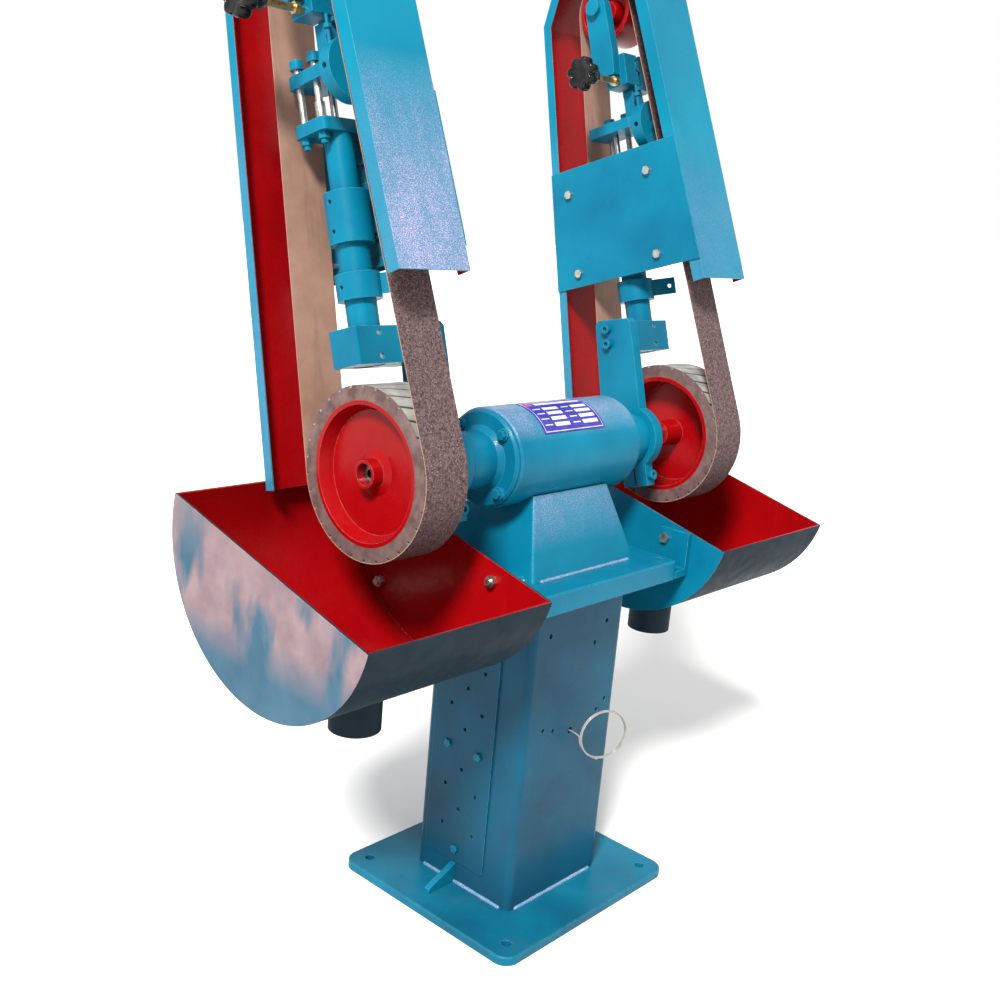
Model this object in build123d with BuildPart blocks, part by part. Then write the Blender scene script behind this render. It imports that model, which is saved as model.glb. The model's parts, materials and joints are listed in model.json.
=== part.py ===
"""Double-ended pedestal belt grinder, in millimetres.

Frame: +Z up, origin at the centre of the base plate's underside, +X along the motor
shaft towards the right unit, -Y the side the operator stands at.
Each belt unit is built in its own leaning arm frame: x along the shaft, b backwards and
s up along the arm, with the origin on the shaft axis in the middle of the contact wheel.
"""

import os
from math import asin, cos, degrees, pi, radians, sin, sqrt, tan

from build123d import *

# --- Driving dimensions -------------------------------------------------------------
SPINDLE_Z = 730.0  # shaft height above the floor
WHEEL_X = 337.5  # middle of each contact wheel from the middle of the motor
LEAN = radians(17)  # backward lean of the belt arms
BELT_WIDTH = 75.0
BELT_LENGTH = 2000.0
BELT_THICK = 1.2
BELT_GAP = 0.3  # between the belt's back and the wheels
WHEEL_R = 120.0  # contact wheel over the belt
IDLER_R = 52.0  # idler wheel over the belt

BASE_SIZE = (408.0, 372.0, 14.0)
BASE_HOLES = (340.0, 310.0)
BASE_HOLE_R = 8.0
COLUMN_SIZE = (224.0, 205.0)
COLUMN_WALL = 6.0
COLUMN_CORNER = 12.0
PLATE_TOP = 560.0  # upper face of the top plate
PLATE_SIZE = (356.0, 300.0)
PLATE_SKIRT = 32.0
PLATE_THICK = 6.0
PLATE_HOLES = (316.0, 256.0)

MOTOR_R = 75.0
MOTOR_HALF = 142.0
SNOUT_R = 42.0
SNOUT_END = 242.0
SHAFT_R = 15.0
BEARING_R = 31.0
BEARING_X = 212.0
FIT = 0.05  # radial running clearance
SLIDE_FIT = 0.08

TYRE_DEPTH = 20.0
HUB_R = 20.0

TROUGH_R = 204.0  # half the rim's width
TROUGH_DEPTH = 196.0
TROUGH_SHEET = 3.0
TROUGH_X = (214.0, 540.0)
TROUGH_CENTRE = (-13.0, 633.0)
TROUGH_TILT = 14.2
SPIGOT_AT = (356.0, 8.0)
SPIGOT_R = 38.0
SPIGOT_WALL = 3.0
SPIGOT_END = 360.0
SPIGOT_COLLAR = (430.0, 43.0)  # height of its lower face, radius
BRACKET_BOLTS = ((-104.0, 583.0), (122.0, 520.0))
BRACKET_LEGS = ((-148.0, -94.0, 600.0), (95.0, 149.0, 544.0))  # each leg's width and top
BRACKET_THICK = 10.0

GUARD_HALF = 62.5
SHEET = 2.5
FRONT_OFFSET = 50.0
BACK_OFFSET = 62.0
FRONT_START = 242.0
BACK_START = -5.0
HOOD_S = 735.0
HOOD_TOP = 806.0
PANEL_S = (275.0, 480.0)
PANEL_BOLTS = ((103.0, 437.0), (-66.0, 437.0), (103.0, 298.0), (-66.0, 298.0))

POST_X = 18.5  # post axis inboard of the wheel's middle
POST_B = 21.4  # post axis behind the arm axis
POST_R = 22.0
ROD_R = 20.0
CLAMP_S = (145.0, 196.0)
CLAMP_B = (-7.0, 50.0)
CLAMP_OUT = 22.6  # clamp's reach outboard of the wheel's middle
LOWER_PLATE_S = (458.0, 475.0)
UPPER_PLATE_S = (524.0, 541.0)
PLATE_X = (-22.0, 42.0)
LOWER_PLATE_B = (0.0, 64.0)
UPPER_PLATE_B = (-29.0, 64.0)
GUIDE_X = -10.5
GUIDE_B = (15.5, 52.0)
GUIDE_R = 5.0
PUSH_ROD_R = 5.0
PUSH_ROD_END = 385.0
SPRING_BORE = (330.0, 10.0)  # bottom of the post's bore, radius
DISC_S = 524.0
DISC_R = 42.0
HEAD_S = (588.0, 646.0)
HEAD_B = (-34.0, 8.0)
HINGE_X = -5.0
HINGE_S = 628.0
HINGE_PIN_R = 5.0
STUD_S = 602.0
STUD_B = -16.0
STUD_R = 5.0
IDLER_HALF = 35.0
AXLE_R = 8.0

TREAD_GROOVES = 30  # slanted serrations round each contact tyre
TREAD_SLANT = -16
TREAD_WIDTH = 4.0
TREAD_DEPTH = 4.0

# --- Values worked out from them ----------------------------------------------------
SIDES = {"left": -1, "right": 1}
LOOP_R = WHEEL_R - BELT_THICK / 2
LOOP_IDLER_R = IDLER_R - BELT_THICK / 2
TYRE_R = WHEEL_R - BELT_THICK - BELT_GAP
RIM_R = TYRE_R - TYRE_DEPTH
IDLER_RIM_R = IDLER_R - BELT_THICK - BELT_GAP


def arm_length():
    """Centre distance at which the open belt loop has its nominal length."""
    gap = (BELT_LENGTH - pi * (LOOP_R + LOOP_IDLER_R)) / 2
    for _ in range(8):
        taper = asin((LOOP_R - LOOP_IDLER_R) / gap)
        wrap = LOOP_R * (pi + 2 * taper) + LOOP_IDLER_R * (pi - 2 * taper)
        gap = (BELT_LENGTH - wrap) / 2 / cos(taper)
    return gap


IDLER_S = arm_length()
TAPER = asin((WHEEL_R - IDLER_R) / IDLER_S)


def run_b(s, offset):
    """Distance from the arm axis of a line parallel to a belt run, outside it by offset."""
    return (WHEEL_R + offset) / cos(TAPER) - s * tan(TAPER)


def arm_frame(side):
    """Leaning frame of one belt unit."""
    origin = (SIDES[side] * WHEEL_X, 0, SPINDLE_Z)
    return Plane(origin=origin, x_dir=(1, 0, 0), z_dir=(0, sin(LEAN), cos(LEAN)))


def inboard(side):
    """Direction along X from a wheel towards the motor."""
    return -SIDES[side]


def level(frame, s):
    """Sketch plane across the arm at height s: x, b."""
    return frame.offset(s)


def profile(frame, x):
    """Sketch plane along the arm, seen from the side: b, s; it extrudes along x."""
    origin = frame.from_local_coords(Vector(x, 0, 0))
    return Plane(origin=origin, x_dir=frame.y_dir, z_dir=frame.x_dir)


def facing(frame, b):
    """Sketch plane facing the operator: x, s; it extrudes towards the front."""
    origin = frame.from_local_coords(Vector(0, b, 0))
    return Plane(origin=origin, x_dir=frame.x_dir, z_dir=-frame.y_dir)


def block(frame, x, b, s, mode=Mode.ADD):
    """Block between pairs of local coordinates."""
    low, high = zip(*[sorted(pair) for pair in (x, b, s)])
    middle = [(lo + hi) / 2 for lo, hi in zip(low, high)]
    with Locations(frame.location * Pos(*middle)):
        Box(*[hi - lo for lo, hi in zip(low, high)], mode=mode)


TURN = {"x": Rot(0, 90, 0), "b": Rot(-90, 0, 0), "s": Rot(0, 0, 0)}


def pin(frame, start, axis, length, radius, mode=Mode.ADD):
    """Round bar from a start point along a local axis; a negative length goes back."""
    centre = list(start)
    centre["xbs".index(axis)] += length / 2
    with Locations(frame.location * Pos(*centre) * TURN[axis]):
        Cylinder(radius, abs(length), mode=mode)


def cap_screw(frame, start, axis, way, head_r, shank):
    """Socket cap screw: head proud of start against the way the shank goes."""
    index = "xbs".index(axis)
    pin(frame, start, axis, -way * head_r * 1.1, head_r)
    pin(frame, start, axis, way * shank, head_r * 0.6)
    socket = list(start)
    socket[index] -= way * head_r * 0.5
    pin(frame, socket, axis, -way * head_r * 0.7, head_r * 0.5, Mode.SUBTRACT)


def save(piece, label):
    """Name a finished piece and write its STEP file."""
    piece.part.label = label
    export_step(piece.part, f"parts/{label}.step")


def parallel(points, gap):
    """Polyline moved sideways by gap, to the right of its direction, with mitred corners."""
    lines = []
    for (x0, y0), (x1, y1) in zip(points, points[1:]):
        length = sqrt((x1 - x0) ** 2 + (y1 - y0) ** 2)
        ux, uy = (x1 - x0) / length, (y1 - y0) / length
        lines.append((x0 + uy * gap, y0 - ux * gap, ux, uy))
    moved = [lines[0][:2]]
    for (ax, ay, aux, auy), (bx, by, bux, buy) in zip(lines, lines[1:]):
        cross = aux * buy - auy * bux
        along = ((bx - ax) * buy - (by - ay) * bux) / cross
        moved.append((ax + aux * along, ay + auy * along))
    end = lines[-1]
    last = sqrt((points[-1][0] - points[-2][0]) ** 2 + (points[-1][1] - points[-2][1]) ** 2)
    moved.append((end[0] + end[2] * last, end[1] + end[3] * last))
    return moved


# --- Pedestal -----------------------------------------------------------------------
def base_plate():
    with BuildPart() as base:
        with BuildSketch():
            RectangleRounded(BASE_SIZE[0], BASE_SIZE[1], 25)
            with GridLocations(BASE_HOLES[0], BASE_HOLES[1], 2, 2):
                Circle(BASE_HOLE_R, mode=Mode.SUBTRACT)
        extrude(amount=BASE_SIZE[2])
        chamfer(base.faces().sort_by(Axis.Z)[-1].outer_wire().edges(), 1.5)
    save(base, "base_plate")


VENT_COLUMNS = (-17.0, 16.0, 49.0)
VENT_PITCH = 70.0
COVER_Y = (-46.0, 84.0)
COVER_Z = (52.0, 500.0)
COVER_THICK = 3.0
COVER_BOLTS = ((-17.0, 249.0), (49.0, 249.0), (16.0, 74.0), (16.0, 424.0))
FRONT_HOLES = ((68, 466), (-71, 468), (42, 434), (85, 327), (66, 313), (-67, 312), (-42, 305))
WIRE_HOLE = (2.0, 294.0)
COLUMN_TOP = PLATE_TOP - PLATE_THICK


def vent_places():
    """Staggered ventilation holes of the column cover, as y, z."""
    middle = [(VENT_COLUMNS[1], 144 + VENT_PITCH * k) for k in range(4)]
    sides = (VENT_COLUMNS[0], VENT_COLUMNS[2])
    outer = [(y, 109 + VENT_PITCH * k) for y in sides for k in (0, 1, 3, 4)]
    return middle + outer


def column():
    left_face = profile(Plane.XY, -COLUMN_SIZE[0] / 2)
    front_face = facing(Plane.XY, -COLUMN_SIZE[1] / 2)
    with BuildPart() as tube:
        with BuildSketch(Plane.XY.offset(BASE_SIZE[2])):
            RectangleRounded(*COLUMN_SIZE, COLUMN_CORNER)
            inner = [size - 2 * COLUMN_WALL for size in COLUMN_SIZE]
            RectangleRounded(*inner, COLUMN_CORNER - COLUMN_WALL, mode=Mode.SUBTRACT)
        extrude(amount=COLUMN_TOP - BASE_SIZE[2])
        with BuildSketch(left_face):
            with Locations(*vent_places()):
                Circle(3.6)
            with Locations(*COVER_BOLTS):
                Circle(4)
        extrude(amount=COLUMN_WALL + 1, mode=Mode.SUBTRACT)
        with BuildSketch(front_face.offset(1)):
            with Locations(*FRONT_HOLES):
                Circle(4)
            with Locations(WIRE_HOLE):
                Circle(6)
        extrude(amount=-COLUMN_WALL - 2, mode=Mode.SUBTRACT)
    save(tube, "column")


def column_cover():
    outside = -COLUMN_SIZE[0] / 2 - COVER_THICK
    centre = (sum(COVER_Y) / 2, sum(COVER_Z) / 2)
    with BuildPart() as cover:
        with BuildSketch(profile(Plane.XY, outside)):
            with Locations(centre):
                RectangleRounded(COVER_Y[1] - COVER_Y[0], COVER_Z[1] - COVER_Z[0], 4)
            with Locations(*vent_places()):
                Circle(3.6, mode=Mode.SUBTRACT)
            with Locations(*COVER_BOLTS):
                Circle(4, mode=Mode.SUBTRACT)
        extrude(amount=COVER_THICK)
    save(cover, "column_cover")
    with BuildPart() as screws:
        with BuildSketch(profile(Plane.XY, outside - 4)):
            with Locations(*COVER_BOLTS):
                RegularPolygon(7, 6)
        extrude(amount=4)
        with BuildSketch(profile(Plane.XY, outside)):
            with Locations(*COVER_BOLTS):
                Circle(4)
        extrude(amount=COVER_THICK + COLUMN_WALL + 4)
    save(screws, "cover_screws")


def column_gusset():
    foot = -COLUMN_SIZE[0] / 2
    z = BASE_SIZE[2]
    with BuildPart() as gusset:
        with BuildSketch(Plane.XZ.offset(-14)):
            with BuildLine():
                Polyline((foot, z), (foot - 58, z), (foot - 58, z + 8), (foot, z + 34), close=True)
            make_face()
        extrude(amount=-10)
    save(gusset, "column_gusset")


def top_plate():
    with BuildPart() as plate:
        with BuildSketch(Plane.XY.offset(PLATE_TOP - PLATE_SKIRT)):
            RectangleRounded(*PLATE_SIZE, 8)
        extrude(amount=PLATE_SKIRT)
        with BuildSketch(Plane.XY.offset(PLATE_TOP - PLATE_SKIRT)):
            Rectangle(PLATE_SIZE[0] - 2 * PLATE_THICK, PLATE_SIZE[1] - 2 * PLATE_THICK)
        extrude(amount=PLATE_SKIRT - PLATE_THICK, mode=Mode.SUBTRACT)
        with BuildSketch(Plane.XY.offset(PLATE_TOP)):
            with GridLocations(*PLATE_HOLES, 2, 2):
                Circle(6)
        extrude(amount=-PLATE_THICK, mode=Mode.SUBTRACT)
        chamfer(plate.faces().sort_by(Axis.Z)[-1].outer_wire().edges(), 2)
    save(plate, "top_plate")


SEAT_FOOT = (250.0, 204.0)
SEAT_TOP = (178.0, 116.0)
SEAT_HEIGHT = 118.0


def motor_seat():
    with BuildPart() as seat:
        with BuildSketch(Plane.XY.offset(PLATE_TOP)):
            RectangleRounded(*SEAT_FOOT, 6)
        with BuildSketch(Plane.XY.offset(PLATE_TOP + SEAT_HEIGHT)):
            RectangleRounded(*SEAT_TOP, 4)
        loft()
        with BuildSketch(Plane.XY.offset(PLATE_TOP)):
            Rectangle(SEAT_FOOT[0] - 30, SEAT_FOOT[1] - 30)
        with BuildSketch(Plane.XY.offset(PLATE_TOP + SEAT_HEIGHT - 36)):
            Rectangle(SEAT_TOP[0] - 10, SEAT_TOP[1] - 10)
        loft(mode=Mode.SUBTRACT)
        pin(Plane.XY, (-MOTOR_HALF, 0, SPINDLE_Z), "x", 2 * MOTOR_HALF, MOTOR_R, Mode.SUBTRACT)
    save(seat, "motor_seat")


# --- Motor --------------------------------------------------------------------------
SHELL = 6.0
STATOR_HALF = 72.0
AIR_GAP = 0.7
BELL_SCREWS = 4
BELL_LUG = 12.0
BELL_SCREW_R = 61.0


def motor_housing():
    with BuildPart() as shell:
        with BuildSketch(profile(Plane.XY, -MOTOR_HALF)):
            with Locations((0, SPINDLE_Z)):
                Circle(MOTOR_R)
                Circle(MOTOR_R - SHELL, mode=Mode.SUBTRACT)
        extrude(amount=2 * MOTOR_HALF)
        ends = shell.faces().filter_by(Axis.X)
        chamfer([face.outer_wire().edges() for face in ends][0] + ends[-1].outer_wire().edges(), 2)
    save(shell, "motor_housing")


def bell_screw_place(k):
    """Place of an end bell's screw, as y, z."""
    angle = radians(45 + 360 / BELL_SCREWS * k)
    return BELL_SCREW_R * cos(angle), SPINDLE_Z + BELL_SCREW_R * sin(angle)


def end_bells():
    """Both end shields, each necking down to the snout that carries a bearing."""
    with BuildPart() as bells:
        for way in (-1, 1):
            with BuildSketch(Plane.XZ):
                with BuildLine():
                    Polyline(
                        (way * MOTOR_HALF, SPINDLE_Z + BEARING_R),
                        (way * MOTOR_HALF, SPINDLE_Z + MOTOR_R - 3),
                        (way * (MOTOR_HALF + 5), SPINDLE_Z + MOTOR_R - 3),
                        (way * (MOTOR_HALF + 8), SPINDLE_Z + MOTOR_R - 6),
                        (way * (MOTOR_HALF + 8), SPINDLE_Z + SNOUT_R + 7),
                        (way * (MOTOR_HALF + 15), SPINDLE_Z + SNOUT_R),
                        (way * SNOUT_END, SPINDLE_Z + SNOUT_R),
                        (way * SNOUT_END, SPINDLE_Z + SHAFT_R + 3),
                        (way * (SNOUT_END - 8), SPINDLE_Z + SHAFT_R + 3),
                        (way * (SNOUT_END - 8), SPINDLE_Z + BEARING_R),
                        close=True,
                    )
                make_face()
            revolve(axis=Axis((0, 0, SPINDLE_Z), (1, 0, 0)))
            for k in range(BELL_SCREWS):
                y, z = bell_screw_place(k)
                pin(Plane.XY, (way * MOTOR_HALF, y, z), "x", way * BELL_LUG, 9)
                pin(Plane.XY, (way * MOTOR_HALF, y, z), "x", way * (BELL_LUG + 1), 4, Mode.SUBTRACT)
    save(bells, "end_bells")
    with BuildPart() as screws:
        for way in (-1, 1):
            for k in range(BELL_SCREWS):
                y, z = bell_screw_place(k)
                with BuildSketch(profile(Plane.XY, way * (MOTOR_HALF + BELL_LUG))):
                    with Locations((y, z)):
                        RegularPolygon(7.5, 6)
                extrude(amount=way * 6)
                pin(Plane.XY, (way * MOTOR_HALF, y, z), "x", way * BELL_LUG, 4)
    save(screws, "end_bell_screws")


NAMEPLATE_X = (-82.0, 60.0)
NAMEPLATE_ARC = (90.0, 146.0)


def nameplate():
    start, end = NAMEPLATE_ARC
    with BuildPart() as plate:
        with BuildSketch(profile(Plane.XY, NAMEPLATE_X[0])):
            with BuildLine():
                inner = CenterArc((0, SPINDLE_Z), MOTOR_R, start, end - start)
                outer = CenterArc((0, SPINDLE_Z), MOTOR_R + 1, start, end - start)
                Line(inner @ 0, outer @ 0)
                Line(inner @ 1, outer @ 1)
            make_face()
        extrude(amount=NAMEPLATE_X[1] - NAMEPLATE_X[0])
    save(plate, "nameplate")


def motor_cores():
    with BuildPart() as stator:
        with BuildSketch(profile(Plane.XY, -STATOR_HALF)):
            with Locations((0, SPINDLE_Z)):
                Circle(MOTOR_R - SHELL)
                Circle(45, mode=Mode.SUBTRACT)
        extrude(amount=2 * STATOR_HALF)
    save(stator, "stator_core")
    with BuildPart() as rotor:
        with BuildSketch(profile(Plane.XY, -STATOR_HALF)):
            with Locations((0, SPINDLE_Z)):
                Circle(45 - AIR_GAP)
                Circle(SHAFT_R + 3, mode=Mode.SUBTRACT)
        extrude(amount=2 * STATOR_HALF)
    save(rotor, "rotor_core")
    with BuildPart() as shaft:
        pin(Plane.XY, (-STATOR_HALF - 20, 0, SPINDLE_Z), "x", 2 * STATOR_HALF + 40, SHAFT_R + 3)
        pin(Plane.XY, (-SHAFT_END, 0, SPINDLE_Z), "x", 2 * SHAFT_END, SHAFT_R)
        for way in (-1, 1):
            pin(Plane.XY, (way * SHAFT_END, 0, SPINDLE_Z), "x", -way * 30, 6, Mode.SUBTRACT)
    save(shaft, "motor_shaft")
    with BuildPart() as bearings:
        for way in (-1, 1):
            with BuildSketch(profile(Plane.XY, way * BEARING_X - 8)):
                with Locations((0, SPINDLE_Z)):
                    Circle(BEARING_R)
                    Circle(SHAFT_R + FIT, mode=Mode.SUBTRACT)
            extrude(amount=16)
    save(bearings, "shaft_bearings")


SHAFT_END = WHEEL_X + BELT_WIDTH / 2 - 12


# --- Contact wheels -----------------------------------------------------------------
def contact_wheels():
    """Dished wheel discs with hub bosses, pressed on the shaft; open sides outwards."""
    half = BELT_WIDTH / 2

    def place(out, along, radius):
        return (out * (WHEEL_X + along), SPINDLE_Z + radius)

    with BuildPart() as wheels:
        for out in SIDES.values():
            with BuildSketch(Plane.XZ):
                with BuildLine():
                    Polyline(
                        place(out, -half, SHAFT_R),
                        place(out, -half, SHAFT_R + 5),
                        place(out, 5, SHAFT_R + 8),
                        place(out, 6, RIM_R - 14),
                        place(out, -half, RIM_R - 7),
                        place(out, -half, RIM_R),
                        place(out, half, RIM_R),
                        place(out, half, RIM_R - 6),
                        place(out, 18, RIM_R - 14),
                        place(out, 16, HUB_R + 12),
                        place(out, 20, HUB_R + 1),
                        place(out, half - 1, HUB_R - 1),
                        place(out, half - 1, SHAFT_R),
                        close=True,
                    )
                make_face()
            revolve(axis=Axis((0, 0, SPINDLE_Z), (1, 0, 0)))
    save(wheels, "contact_wheels")


def contact_tyres():
    """Rubber tyres with slanted serrations across their treads."""
    half = BELT_WIDTH / 2
    with BuildPart() as tyres:
        for out in SIDES.values():
            centre = out * WHEEL_X
            with BuildSketch(profile(Plane.XY, centre - half)):
                with Locations((0, SPINDLE_Z)):
                    Circle(TYRE_R)
                    Circle(RIM_R, mode=Mode.SUBTRACT)
            extrude(amount=2 * half)
            for k in range(TREAD_GROOVES):
                turn = Pos(centre, 0, SPINDLE_Z) * Rot(360 / TREAD_GROOVES * k, 0, 0)
                with Locations(turn * Pos(0, 0, TYRE_R) * Rot(0, 0, TREAD_SLANT)):
                    Box(2.6 * half + 20, TREAD_WIDTH, 2 * TREAD_DEPTH, mode=Mode.SUBTRACT)
    save(tyres, "contact_tyres")


# --- Dust troughs -------------------------------------------------------------------
def half_bowl(width, depth):
    """Lower half of an ellipse, closed by a straight line."""
    Ellipse(width, depth)
    with Locations((0, width / 2)):
        Rectangle(2 * width + 2, width, mode=Mode.SUBTRACT)


def trough(side):
    """Half-round scoop of sheet under a wheel, open at its tilted rim, with a dust spigot."""
    out = SIDES[side]
    near, far = TROUGH_X
    start = near if out > 0 else -far
    tilt = radians(TROUGH_TILT)
    rim = Plane(origin=(0, *TROUGH_CENTRE), x_dir=(1, 0, 0), z_dir=(0, -sin(tilt), cos(tilt)))
    section = profile(rim, start)
    foot = (out * SPIGOT_AT[0], SPIGOT_AT[1], SPIGOT_END)
    collar = (*foot[:2], SPIGOT_COLLAR[0])
    inside = TROUGH_CENTRE[1] - TROUGH_DEPTH + 15 - SPIGOT_END
    with BuildPart() as scoop:
        with BuildSketch(section):
            half_bowl(TROUGH_R, TROUGH_DEPTH)
        extrude(amount=far - near)
        pin(Plane.XY, foot, "s", inside, SPIGOT_R)
        pin(Plane.XY, collar, "s", SPIGOT_END + inside - SPIGOT_COLLAR[0], SPIGOT_COLLAR[1])
        with BuildSketch(section.offset(TROUGH_SHEET)):
            half_bowl(TROUGH_R - TROUGH_SHEET, TROUGH_DEPTH - TROUGH_SHEET)
        extrude(amount=far - near - 2 * TROUGH_SHEET, mode=Mode.SUBTRACT)
        pin(Plane.XY, foot, "s", inside, SPIGOT_R - SPIGOT_WALL, Mode.SUBTRACT)
        for y, z in BRACKET_BOLTS:
            pin(Plane.XY, (out * (near - 1), y, z), "x", out * 6, 5, Mode.SUBTRACT)
    save(scoop, f"trough_{side}")


def trough_brackets():
    """Four angles welded to the top plate's skirt, bolted to the troughs' inner ends."""
    near = TROUGH_X[0]
    side_face = PLATE_SIZE[0] / 2
    shelf = PLATE_TOP - PLATE_SKIRT
    with BuildPart() as brackets:
        for way in (-1, 1):
            for (y, z), (front, back, top) in zip(BRACKET_BOLTS, BRACKET_LEGS):
                leg = (way * (near - BRACKET_THICK), way * near)
                block(Plane.XY, leg, (front, back), (min(z - 18, shelf), top))
                block(Plane.XY, (way * side_face, leg[0]), (front, back), (shelf, shelf + 12))
                hole = (way * (near - BRACKET_THICK - 1), y, z)
                pin(Plane.XY, hole, "x", way * (BRACKET_THICK + 2), 5, Mode.SUBTRACT)
    save(brackets, "trough_brackets")
    with BuildPart() as bolts:
        for way in (-1, 1):
            inside = way * (near - BRACKET_THICK)
            for y, z in BRACKET_BOLTS:
                with BuildSketch(profile(Plane.XY, inside)):
                    with Locations((y, z)):
                        RegularPolygon(9, 6)
                extrude(amount=-way * 6.5)
                with BuildSketch(profile(Plane.XY, way * (near + TROUGH_SHEET))):
                    with Locations((y, z)):
                        RegularPolygon(9, 6)
                extrude(amount=way * 8)
                pin(Plane.XY, (inside, y, z), "x", way * (BRACKET_THICK + TROUGH_SHEET + 12), 5)
    save(bolts, "trough_bolts")


# --- Wire loop at the column's front --------------------------------------------------
WIRE_R = 1.25
COIL_R = 40.0
COIL_TURN = 25.0  # how far the ring's plane swings out from the column's face
COIL_POINTS = 16
COIL_TURNS = 2.25
COIL_PITCH = 3.2
COIL_DROP = 2.0  # ring's centre below the hole
WIRE_START = 94.0
WIRE_BEND = 122.0


def wire_route():
    """Out of the hole, down into the ring, round it with a small pitch, to a bare end."""
    turn = radians(COIL_TURN)
    x, z = WIRE_HOLE
    step = 2 * pi / COIL_POINTS
    corner = COIL_R / cos(step / 2)
    points = [(x, -WIRE_START, z), (x, -WIRE_BEND, z)]
    for k in range(round(COIL_TURNS * COIL_POINTS)):
        angle = pi + step * (k + 0.5)
        across = COIL_R + corner * cos(angle)
        rise = corner * sin(angle) - COIL_DROP
        away = COIL_PITCH * (k + 1) / COIL_POINTS
        points.append(
            (
                x + across * cos(turn) - away * sin(turn),
                -WIRE_BEND - across * sin(turn) - away * cos(turn),
                z + rise,
            )
        )
    return points


def bend_radii(points):
    """Largest tidy bend at each corner of a route."""
    radii = []
    for a, b, c in zip(points, points[1:], points[2:]):
        before, after = Vector(*b) - Vector(*a), Vector(*c) - Vector(*b)
        half_turn = radians(before.get_angle(after)) / 2
        radii.append(0.45 * min(before.length, after.length) / tan(half_turn))
    return radii


def wire_loop():
    """Spare wire wound in a small ring in front of the column, fed from a hole."""
    route = wire_route()
    with BuildPart() as wire:
        with BuildLine() as path:
            FilletPolyline(*route, radius=bend_radii(route))
        with BuildSketch(Plane(origin=route[0], z_dir=(0, -1, 0))):
            Circle(WIRE_R)
        sweep(path=path.wires()[0])
    save(wire, "wire_loop")


# --- Belt arm: bracket, post and collars ----------------------------------------------
BRACKET_X = (99.5, 119.5)  # bracket's plate, inboard of the wheel's middle
RING_R = 53.0
EAR_B = 24.0
EAR_S = (-84.0, -44.0)
PINCH_S = -67.0
BRACKET_SCREWS = ((17.0, 186.0), (19.0, 161.0))
SET_SCREWS_S = (155.0, 187.0)
POST_SPAN = (146.0, 345.0, LOWER_PLATE_S[0])
LOWER_COLLAR_S = (234.0, 270.0)
UPPER_COLLAR_S = (310.0, 380.0)


def arm_bracket(side):
    """Plate with a split ring that grips the end bell's snout."""
    frame = arm_frame(side)
    inn = inboard(side)
    near, far = BRACKET_X
    plate_x = sorted((inn * near, inn * far))
    with BuildPart() as bracket:
        with BuildSketch(profile(frame, plate_x[0])):
            with BuildLine():
                Polyline(
                    (-26, 0), (-30, 150), (-30, 191), (-24, 198),
                    (34, 203), (41, 196), (50, 80), (50, 0), close=True,
                )
            make_face()
        extrude(amount=far - near)
        pin(frame, (inn * near, 0, 0), "x", inn * (far - near), RING_R)
        block(frame, plate_x, (-EAR_B, EAR_B), EAR_S)
        pin(frame, (inn * (near - 1), 0, 0), "x", inn * 30, SNOUT_R + FIT, Mode.SUBTRACT)
        slot_x = (inn * (near - 1), inn * (far + 1))
        block(frame, slot_x, (-2, 2), (EAR_S[0] - 1, -20), Mode.SUBTRACT)
        pinch = (inn * (near + far) / 2, -EAR_B - 1, PINCH_S)
        pin(frame, pinch, "b", 2 * EAR_B + 2, 5, Mode.SUBTRACT)
        for b, s in BRACKET_SCREWS:
            pin(frame, (inn * (near - 1), b, s), "x", inn * 22, 5, Mode.SUBTRACT)
    save(bracket, f"arm_bracket_{side}")


def arm_screws(side):
    """Cap screws of the bracket and its pinch, the post's set screws, the panel's bolts."""
    frame = arm_frame(side)
    inn = inboard(side)
    near, far = BRACKET_X
    with BuildPart() as screws:
        for b, s in BRACKET_SCREWS:
            cap_screw(frame, (inn * far, b, s), "x", -inn, 8, far - near + 20)
        cap_screw(frame, (inn * (near + far) / 2, -EAR_B, PINCH_S), "b", 1, 8, 2 * EAR_B + 6)
        for s in SET_SCREWS_S:
            pin(frame, (inn * POST_X, -5, s), "b", 4.3, 4)
        outside = inn * (GUARD_HALF + SHEET)
        for b, s in PANEL_BOLTS:
            with BuildSketch(profile(frame, outside)):
                with Locations((b, s)):
                    RegularPolygon(7.5, 6)
            extrude(amount=inn * 6)
            pin(frame, (outside, b, s), "x", -inn * 18, 4)
    save(screws, f"arm_screws_{side}")


def post_clamp(side):
    """Block on the bracket that holds the foot of the post."""
    frame = arm_frame(side)
    inn = inboard(side)
    near = BRACKET_X[0]
    with BuildPart() as clamp:
        block(frame, (-inn * CLAMP_OUT, inn * near), CLAMP_B, CLAMP_S)
        edges = clamp.edges().filter_by(lambda e: abs(e.tangent_at(0.5).dot(frame.z_dir)) > 0.99)
        fillet(edges, 4)
        pin(frame, (inn * POST_X, POST_B, CLAMP_S[0] - 1), "s", 60, POST_R, Mode.SUBTRACT)
        for s in SET_SCREWS_S:
            pin(frame, (inn * POST_X, CLAMP_B[0] - 1, s), "b", 12, 4, Mode.SUBTRACT)
        for b, s in BRACKET_SCREWS:
            pin(frame, (inn * (near + 1), b, s), "x", -inn * 21, 4.8, Mode.SUBTRACT)
    save(clamp, f"post_clamp_{side}")


def post(side):
    """Round bar clamped at its foot, a little thinner above, bored for the tension spring."""
    frame = arm_frame(side)
    across = inboard(side) * POST_X
    low, step, high = POST_SPAN
    bore_s, bore_r = SPRING_BORE
    with BuildPart() as bar:
        pin(frame, (across, POST_B, low), "s", step - low, POST_R)
        pin(frame, (across, POST_B, step), "s", high - step, ROD_R)
        pin(frame, (across, POST_B, bore_s), "s", high - bore_s + 1, bore_r, Mode.SUBTRACT)
    save(bar, f"post_{side}")


COLLAR_R = 31.0
LUG_WAY = 45.0


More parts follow.
